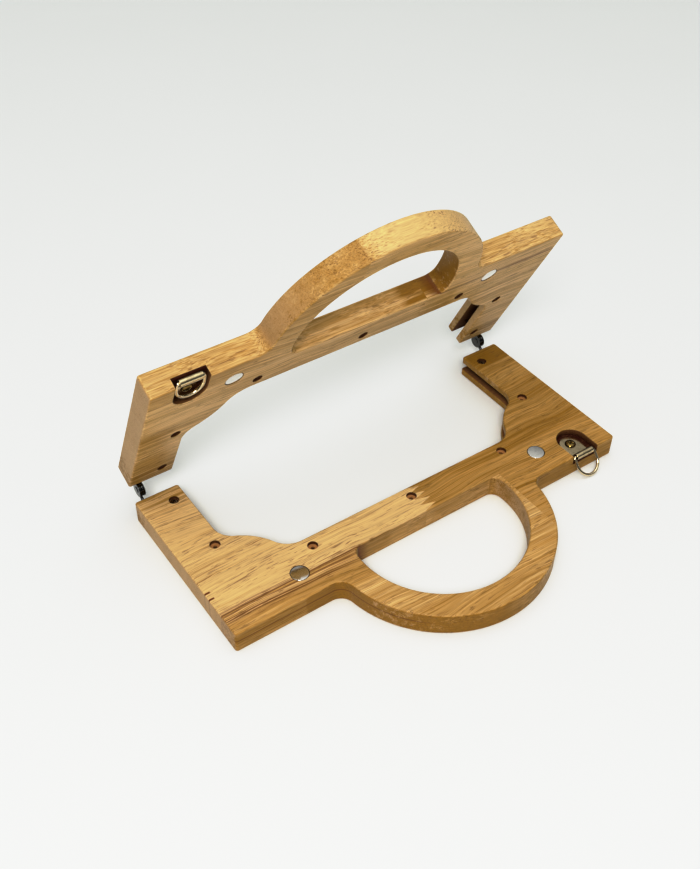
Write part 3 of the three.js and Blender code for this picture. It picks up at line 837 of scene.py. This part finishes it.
def mark_wood(mesh):
    """Stores three shares on the mesh: end_grain, how far a corner's normal turns to the grain;
    wall, how far it turns off the board's faces; and a share of how dark a point inside a cut is,
    stain together with painted shade in the recess. Returns 1 for each face whose corners all lie in
    a cut, and 0 for the others."""
    co = stored_values(mesh.vertices, "co", len(mesh.vertices) * 3).reshape(-1, 3).astype(float)
    normals = stored_values(mesh.corner_normals, "vector", len(mesh.loops) * 3).reshape(-1, 3)
    ends = np.abs(normals[:, 0]) ** 1.5
    path = groove_path(0.0)
    t = np.linspace(0, 1, 9)[:-1]
    dense = np.vstack([np.column_stack([np.interp(t, (0, 1), (p[k], q[k])) for k in (0, 1)])
                       for p, q in zip(path[:-1], path[1:])])
    plan, z = co[:, :2], co[:, 2]
    depth = depth_in_wood(plan, dense)
    half = mm("groove_width") / 2
    groove = ((np.abs(z - BOARD / 2) < half + 0.05) & (depth > mm("groove_lip") - 0.08)
              & (depth < mm("groove_depth") + 0.1))
    # darker deeper into the groove: stain and painted shade
    stain_and_shade_share = np.where(groove, np.clip(0.35 + depth / 9, 0, 1), 0)
    inside = groove
    for hx, hy in CLAMP_HOLES:
        away = np.hypot(plan[:, 0] - hx, plan[:, 1] - hy)
        hole = (away < mm("clamp_hole") + 0.05) & (z < BOARD - 0.2)
        floor = hole & (np.abs(z - BOARD + COUNTERBORE) < 0.05)
        # hole walls darkened by stain and painted shade, their floors left raw
        stain_and_shade_share = np.where(hole, np.where(floor, 0.05, 0.85), stain_and_shade_share)
        inside = inside | hole
    for s in (-1, 1):
        away = np.hypot(plan[:, 0] - s * MAGNET_AT[0], plan[:, 1] - MAGNET_AT[1])
        seat = (away < mm("magnet") + 0.3) & (z < BOARD - 0.1) & (z > BOARD - MAGNET_T - 1)
        # painted shade in the gap round the magnet, with stain
        stain_and_shade_share = np.where(seat, 0.9, stain_and_shade_share)
        inside = inside | seat
    along = np.maximum(plan[:, 1] + POCKET_C, 0)
    nook = ((np.hypot(plan[:, 0] - POCKET_X, along) < POCKET_HALF + 0.05)
            & (z > POCKET_FLOOR - 1.5) & (z < BOARD - 0.3))
    # pocket darker towards its floor: stain and painted shade
    stain_and_shade_share = np.where(nook, np.clip(0.55 + (BOARD - z) / 9, 0, 1), stain_and_shade_share)
    inside = inside | nook
    corners = stored_values(mesh.loops, "vertex_index", len(mesh.loops), np.int32)
    starts = stored_values(mesh.polygons, "loop_start", len(mesh.polygons), np.int32)
    all_in = np.minimum.reduceat(inside[corners].astype(np.int32), starts)
    put_share(mesh, "end_grain", "CORNER", ends)
    put_share(mesh, "wall", "CORNER", 1 - np.abs(normals[:, 2]))
    put_share(mesh, "stain_and_shade_share", "POINT", stain_and_shade_share)
    return all_in


def put_share(mesh, name, domain, values):
    """Stores an array on the mesh under this name."""
    attribute = mesh.attributes.new(name, "FLOAT", domain)
    attribute.data.foreach_set("value", np.asarray(values, np.float32))


class AddBoards(bpy.types.Operator):
    """Add the two wooden halves, grooved, drilled and rounded"""

    bl_idname = "purse_frame.add_boards"
    bl_label = "Boards"

    def execute(self, context):
        board = cut(plain_board(), groove_cutter(), bore_cutters(), lip_cutter())
        smooth(board.data, 34)
        even = board.modifiers.new("even", "WEIGHTED_NORMAL")
        even.keep_sharp = True
        even.weight = 80
        finished(board)
        in_cut = mark_wood(board.data)
        cuts = cut_wood_material()
        for half, place in HALVES.items():
            mesh = board.data.copy()
            mesh.transform(Matrix.Scale(MM, 4) @ place)
            piece = add_object(f"{half}_frame_look", mesh)
            register_piece(piece, f"{half}_frame", f"{half}_half", wood_material(half))
            mesh.materials.append(cuts)
            mesh.polygons.foreach_set("material_index", in_cut)
        bpy.data.objects.remove(board)
        return {"FINISHED"}


# ---------------------------------------------------------------- hinges
def eye_places():
    """Middle of the lower half's eye in each pair, along x."""
    return (-HINGE_X - EYE_PITCH / 2, HINGE_X - EYE_PITCH / 2)


def shank_place(x, start):
    """Carries +Z to the eye's slanted shank, starting that far from the hinge axis."""
    return (Matrix.Translation((x, AXIS_Y, AXIS_Z))
            @ Matrix.Rotation(math.radians(EYE_SLANT), 4, "X") @ Matrix.Translation((0, -start, 0))
            @ Matrix.Rotation(math.radians(90), 4, "X"))


def hinge_eye(x):
    """A flattened eye with rounded edges round the rivet, a neck that narrows away from it and a
    shank whose radius rises and falls along a helix."""
    r, half = mm("eye"), EYE_T / 2
    ring = fillet([(EYE_BORE, -half), (r, -half), (r, half), (EYE_BORE, half), (EYE_BORE, -half)],
                  [0.25, 0.25, 0.1, 0.0], 6)
    disc = moved(turned(ring, 72), Matrix.Translation((x, AXIS_Y, AXIS_Z))
                 @ Matrix.Rotation(math.radians(90), 4, "Y"))
    t = np.linspace(0, 2 * math.pi, 28, endpoint=False)
    along = np.linspace(r - 0.7, SHANK_FROM + 0.4, 24)
    flare = 0.95 + 1.1 * np.exp(-(along - r + 0.7) / 0.8)
    wide = np.minimum(flare, 0.78 + 0.15 * np.clip((along - r) / 2, 0, 1))
    neck = np.stack([wide[:, None] * np.cos(t), flare[:, None] * np.sin(t),
                     np.repeat(along[:, None], len(t), 1)], -1)
    s = np.linspace(SHANK_FROM - 0.4, SHANK_TO, 130)
    wave = (s[:, None] / THREAD_PITCH - t[None, :] / (2 * math.pi)) % 1.0
    ends = np.clip((SHANK_TO - s) / 2.0, 0.0, 1)[:, None]
    radius = (0.85 + 0.33 * (1 - np.abs(2 * wave - 1)) ** 1.3) * (0.25 + 0.75 * ends ** 0.6)
    thread = np.stack([radius * np.cos(t), radius * np.sin(t), np.repeat(s[:, None], len(t), 1)],
                      -1)
    shank = [moved(swept(rows, caps="rows"), shank_place(x, 0)) for rows in (neck, thread)]
    return joined(disc, *shank)


def rivet(x):
    """A turned rivet: two flat heads with a slight dome on a plain pin, along x."""
    inner, edge = EYE_T + 0.3, 0.12
    t = np.linspace(0, math.pi / 2, 8)
    head = np.column_stack([RIVET_R * np.sin(t), inner + edge + (RIVET_HEAD - edge) * np.cos(t)])
    half = np.vstack([head, [(RIVET_R, inner), (RIVET_PIN, inner), (RIVET_PIN, 0)]])
    profile = np.vstack([half, (half * (1, -1))[::-1][1:]])
    return moved(turned(profile, 40), Matrix.Translation((x, AXIS_Y, AXIS_Z))
                 @ Matrix.Rotation(math.radians(90), 4, "Y"))


def swapped(half, side):
    """Sides are read from the front, so the turned half swaps them."""
    return side if half == "lower" else {"left": "right", "right": "left"}[side]


class AddHinges(bpy.types.Operator):
    """Add the two hinges: four flat eyes on threaded shanks and two rivets"""

    bl_idname = "purse_frame.add_hinges"
    bl_label = "Hinges"

    def execute(self, context):
        # the hinge colour is a painted dark reflection, not the metal's own colour
        metal = metal_material("hinge_dark_reflection_metal", "hinge", rough=0.12, wear=0.08)
        for half, place in HALVES.items():
            for side, x in zip(("left", "right"), eye_places()):
                add_piece(f"{half}_hinge_eye_{swapped(half, side)}", hinge_eye(x), f"{half}_half",
                          metal, place, 40)
        for side, x in (("left", -HINGE_X), ("right", HINGE_X)):
            add_piece(f"hinge_rivet_{side}", rivet(x), "lower_half", metal,
                      HALVES["lower"], 40)
        return {"FINISHED"}


# ---------------------------------------------------------------- magnets and screws
class AddMagnets(bpy.types.Operator):
    """Add the four round closing magnets"""

    bl_idname = "purse_frame.add_magnets"
    bl_label = "Magnets"

    def execute(self, context):
        metal = metal_material("magnet_plating", "magnet", rough=0.09, wear=0.03, dull=0.03)
        r = mm("magnet")
        low = BOARD - MAGNET_SINK - MAGNET_T
        profile = fillet([(0, low), (r, low), (r, low + MAGNET_T), (0, low + MAGNET_T)],
                         [0.25, 0.3], 5)
        disc = turned(profile, 72)
        for half, place in HALVES.items():
            for side, s in (("left", -1), ("right", 1)):
                side = swapped(half, side)
                lean = Matrix.Rotation(math.radians(MAGNET_LEAN[f"{half}_{side}"]), 4, "X")
                at = (place @ Matrix.Translation((s * MAGNET_AT[0], MAGNET_AT[1], BOARD))
                      @ lean @ Matrix.Translation((0, 0, -BOARD)))
                add_piece(f"{half}_magnet_{side}", disc, f"{half}_half", metal, at)
        return {"FINISHED"}


def cross_screw(head_r, head_h, shank_r, length, arm):
    """A domed screw: a turned outline whose top is lowered inside a cross of two arms, by a depth
    that grows smoothly from the arms' edges to their middle lines."""
    n = 112
    s = np.linspace(0, 1, 34)
    dome = np.column_stack([head_r * s, head_h * (1 - 0.12 * s ** 2 - 0.88 * s ** 5.0) + 0.18])
    rest = np.array([(head_r, 0.05), (head_r * 0.97, 0.0), (shank_r, 0), (shank_r, shank_r - length),
                     (0.15, -length), (0, -length)])
    profile = np.vstack([dome, rest])
    points, faces = turned(profile, n)
    x, y = points[:, 0], points[:, 1]
    bar = np.minimum(np.maximum(np.abs(x) - arm, np.abs(y) - arm * 0.24),
                     np.maximum(np.abs(y) - arm, np.abs(x) - arm * 0.24))
    share = np.clip(-bar / (arm * 0.16), 0, 1)
    top = np.arange(len(points)) < len(dome) * n
    points[:, 2] -= np.where(top, head_h * 0.75 * share * share * (3 - 2 * share), 0)
    return points, faces


class AddTipScrews(bpy.types.Operator):
    """Add the four clamp screws that sit in the counterbores next to the leg tips"""

    bl_idname = "purse_frame.add_tip_screws"
    bl_label = "Tip screws"

    def execute(self, context):
        metal = metal_material("tip_screw_steel", "steel", rough=0.24, wear=0.15)
        z = BOARD - COUNTERBORE + 0.02
        screw = cross_screw(head_r=2.55, head_h=1.1, shank_r=0.95,
                            length=z - PILOT_END - 0.3, arm=1.5)
        for half, place in HALVES.items():
            for side, k, turn in (("left", 0, 24), ("right", 1, 71)):
                at = (place @ Matrix.Translation((*CLAMP_HOLES[k], z))
                      @ Matrix.Rotation(math.radians(turn), 4, "Z"))
                add_piece(f"{half}_tip_screw_{swapped(half, side)}", screw, f"{half}_half", metal,
                          at, 50)
        return {"FINISHED"}


# ---------------------------------------------------------------- strap ring fittings
def ring_tab():
    """Sheet metal folded round the ring's bar: a strip that runs flat from its rounded end, round
    the bar and back down to itself. Its half width narrows as a half circle at the free end."""
    sheet = mm("tab_sheet")
    mid = BAR_Z - TAB_Z - sheet / 2
    end = TAB_SCREW_Y + TAB_HALF
    n = 40
    t = np.linspace(0, 1, n)
    flat_y = end - (end - BAR_Y) * (1 - np.cos(t * math.pi / 2)) ** 0.8
    flat = np.column_stack([flat_y, np.full(n, TAB_Z + sheet / 2)])
    roll = arc(BAR_Y, BAR_Z, mid, -90, -90 - ROLL_TURN, 44)[1:]
    tail = roll[-1] + np.array([(0.35, -0.33), (0.8, -0.6), (1.4, -0.74)])
    path = np.vstack([flat, roll, tail])
    step = np.gradient(path, axis=0)
    step /= np.linalg.norm(step, axis=1)[:, None]
    normal = np.column_stack([step[:, 1], -step[:, 0]])
    y = path[:, 0]
    cap = np.clip(y - TAB_SCREW_Y, 0, TAB_HALF)
    width = np.where(np.arange(len(path)) < n, np.sqrt(TAB_HALF ** 2 - cap ** 2), TAB_HALF)
    v = np.linspace(0, 2 * math.pi, 48, endpoint=False)
    # the section is a flat oblong, wide across and sheet thick, with eased edges
    across = np.sign(np.cos(v)) * np.abs(np.cos(v)) ** 0.25
    through = np.sign(np.sin(v)) * np.abs(np.sin(v)) ** 0.25 * sheet / 2
    rows = np.stack([
        POCKET_X + width[:, None] * across[None, :],
        path[:, :1] + normal[:, :1] * through[None, :],
        path[:, 1:] + normal[:, 1:] * through[None, :]], -1)
    return swept(rows, caps="rows")


def strap_ring():
    """Round wire carried along a D in plan, its bar on the x axis and its bow towards +y."""
    c, bow, r = RING_CORNER, RING_REACH - RING_HALF, mm("ring_wire")
    path = np.vstack([
        np.column_stack([np.linspace(-RING_HALF + c, RING_HALF - c, 14), np.zeros(14)]),
        arc(RING_HALF - c, c, c, -90, 0, 8)[1:],
        arc(0, bow, RING_HALF, 0, 180, 80),
        arc(-RING_HALF + c, c, c, 180, 270, 8)[:-1]])
    step = np.roll(path, -1, 0) - np.roll(path, 1, 0)
    step /= np.linalg.norm(step, axis=1)[:, None]
    side = np.column_stack([step[:, 1], -step[:, 0]])
    t = np.linspace(0, 2 * math.pi, 22, endpoint=False)
    plan = path[:, None, :] + side[:, None, :] * (r * np.cos(t))[None, :, None]
    rows = np.dstack([plan, np.broadcast_to(r * np.sin(t), plan.shape[:2])])
    return swept(rows, close_rows=True)


class AddRingFittings(bpy.types.Operator):
    """Add the two folded tabs and their screws"""

    bl_idname = "purse_frame.add_ring_fittings"
    bl_label = "Ring tabs and screws"

    def execute(self, context):
        sheet = metal_material("tab_nickel", "tab", rough=0.17, wear=0.10)
        brass = metal_material("tab_screw_brass", "brass", rough=0.15, wear=0.16)
        screw = cross_screw(head_r=3.3, head_h=1.15, shank_r=1.3, length=6.8, arm=1.9)
        for half, place in HALVES.items():
            add_piece(f"{half}_ring_tab", ring_tab(), f"{half}_half", sheet, place, 45)
            at = (place @ Matrix.Translation((POCKET_X, TAB_SCREW_Y, TAB_Z + TAB_T - 0.1))
                  @ Matrix.Rotation(math.radians(38), 4, "Z"))
            add_piece(f"{half}_tab_screw", screw, f"{half}_half", brass, at, 50)
        return {"FINISHED"}


class AddStrapRings(bpy.types.Operator):
    """Add the two wire rings for the shoulder strap"""

    bl_idname = "purse_frame.add_strap_rings"
    bl_label = "Strap rings"

    def execute(self, context):
        metal = metal_material("ring_nickel", "nickel", rough=0.12, wear=0.08)
        for half, place in HALVES.items():
            at = (place @ Matrix.Translation((POCKET_X, BAR_Y, BAR_Z))
                  @ Matrix.Rotation(math.radians(RING_TURN[half]), 4, "X"))
            add_piece(f"{half}_strap_ring", strap_ring(), f"{half}_ring", metal, at, 60)
        return {"FINISHED"}


# ---------------------------------------------------------------- studio
CAMERA_AT = (-0.27350, -0.32722, 0.44100)
CAMERA_AXES = ((0.82062, -0.57130, 0.01383), (0.43098, 0.60280, -0.67148))  # right, forward
LENS, SENSOR = 55.23, 36
FLOOR_HALF = 4.0
LAMP_AT, LAMP_TO, LAMP_SIZE, LAMP_WATTS = (-0.75, -0.85, 1.25), (0, 0, 0.03), (0.6, 0.5), 14.0
SKY_TOP, SKY_LOW, SKY_POWER = 1.58, 0.08, 4.0
BACKDROP = 0.85  # how bright the room looks behind the floor's edge, without lighting the object
TONE_POINTS = ((0, 0), (0.1, 0.068), (0.3, 0.255), (0.5, 0.54), (0.67, 0.785), (0.85, 0.898),
               (1, 0.95))


def floor_material():
    """Plain matt paper with a faint mottle."""
    s = Shader("studio_floor")
    at = s.node("ShaderNodeTexCoord").outputs["Object"]
    mottle = s.noise(at, (6, 6, 6), 4)
    base = tint("floor")
    dim = tuple(c * 0.975 for c in base[:3]) + (1.0,)
    return s.finish(Base_Color=s.mix(mottle, base, dim), Roughness=0.62,
                    Normal=s.bump(s.noise(at, (900, 900, 900), 2), 0.02, 0.0001))


def add_lamp(name, at, target, size, watts):
    """A rectangular soft lamp that faces the target."""
    data = bpy.data.lights.new(name, "AREA")
    data.shape = "RECTANGLE"
    data.size, data.size_y = size
    data.energy = watts
    lamp = add_object(name, data)
    lamp.location = at
    lamp.rotation_euler = (Vector(target) - Vector(at)).to_track_quat("-Z", "Y").to_euler()


def soft_sky():
    """A soft white ceiling over a dark horizon: SKY_LOW plus SKY_TOP times the direction's height
    to SKY_POWER. Seen directly, it is never darker than BACKDROP."""
    world = bpy.data.worlds.new("studio")
    world.use_nodes = True
    tree = world.node_tree

    def math_node(operation, a, b):
        """A math node's output."""
        n = tree.nodes.new("ShaderNodeMath")
        n.operation = operation
        for socket, value in zip(n.inputs, (a, b)):
            if isinstance(value, bpy.types.NodeSocket):
                tree.links.new(value, socket)
            else:
                socket.default_value = value
        return n.outputs[0]

    axes = tree.nodes.new("ShaderNodeSeparateXYZ")
    tree.links.new(tree.nodes.new("ShaderNodeTexCoord").outputs["Generated"], axes.inputs[0])
    height = math_node("MAXIMUM", axes.outputs["Z"], 0.0)
    ceiling = math_node("MULTIPLY", math_node("POWER", height, SKY_POWER), SKY_TOP)
    seen = tree.nodes.new("ShaderNodeLightPath").outputs["Is Camera Ray"]
    strength = math_node("MAXIMUM", math_node("ADD", ceiling, SKY_LOW),
                         math_node("MULTIPLY", seen, BACKDROP))
    sky = tree.nodes["Background"]
    sky.inputs["Color"].default_value = (0.985, 1.0, 0.985, 1)
    tree.links.new(strength, sky.inputs["Strength"])
    return world


def tone_curve(settings):
    """A gentle S through TONE_POINTS, in linear light: shades a little deeper, whites held back."""
    settings.use_curve_mapping = True
    mapping = settings.curve_mapping
    curve = mapping.curves[3]
    curve.points[0].location = TONE_POINTS[0]
    curve.points[1].location = TONE_POINTS[-1]
    for x, y in TONE_POINTS[1:-1]:
        curve.points.new(x, y)
    mapping.update()


class SetStage(bpy.types.Operator):
    """Set up the floor, the lights and the camera"""

    bl_idname = "purse_frame.set_stage"
    bl_label = "Stage"

    def execute(self, context):
        scene = context.scene
        ends = (-FLOOR_HALF, FLOOR_HALF)
        rows = [[(x, y, 0.0) for x in ends] for y in ends]
        mesh = mesh_of("floor", swept(rows, close_cols=False))
        if mesh.polygons[0].normal.z < 0:
            mesh.flip_normals()
        mesh.materials.append(floor_material())
        add_object("floor", mesh)

        add_lamp("window", LAMP_AT, LAMP_TO, LAMP_SIZE, LAMP_WATTS)
        scene.world = soft_sky()
        scene.view_settings.view_transform = "Standard"
        tone_curve(scene.view_settings)

        data = bpy.data.cameras.new("camera")
        data.sensor_fit = "HORIZONTAL"
        data.sensor_width = SENSOR
        data.lens = LENS
        right, forward = map(Vector, CAMERA_AXES)
        up = right.cross(forward)
        camera = add_object("camera", data)
        camera.matrix_world = Matrix.Translation(CAMERA_AT) @ Matrix(
            (right, up, -forward)).transposed().to_4x4()
        scene.camera = camera
        return {"FINISHED"}


# ---------------------------------------------------------------- add-on
class PurseFramePanel(bpy.types.Panel):
    """Lists the pieces of the purse frame and their settings"""

    bl_idname = "VIEW3D_PT_purse_frame"
    bl_label = "Purse Frame"
    bl_space_type = "VIEW_3D"
    bl_region_type = "UI"
    bl_category = "Purse Frame"

    def draw(self, context):
        layout = self.layout
        for piece in PIECES:
            layout.operator(piece.bl_idname)
        for group in (context.scene.purse_frame_sizes, context.scene.purse_frame_colours):
            box = layout.box()
            for name in group.__annotations__:
                box.prop(group, name)


PIECES = (AddBoards, AddHinges, AddMagnets, AddTipScrews, AddRingFittings, AddStrapRings, SetStage)
CLASSES = (PurseFrameSizes, PurseFrameColours, *PIECES, PurseFramePanel)


def register():
    """Adds the add-on's classes and the scene's settings."""
    for cls in CLASSES:
        bpy.utils.register_class(cls)
    bpy.types.Scene.purse_frame_sizes = bpy.props.PointerProperty(type=PurseFrameSizes)
    bpy.types.Scene.purse_frame_colours = bpy.props.PointerProperty(type=PurseFrameColours)


def unregister():
    """Takes the settings and the classes away again."""
    del bpy.types.Scene.purse_frame_colours
    del bpy.types.Scene.purse_frame_sizes
    for cls in reversed(CLASSES):
        bpy.utils.unregister_class(cls)


def main():
    """Registers the add-on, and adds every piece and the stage."""
    register()
    for piece in PIECES:
        group, action = piece.bl_idname.split(".")
        getattr(getattr(bpy.ops, group), action)()


if __name__ == "__main__":
    main()
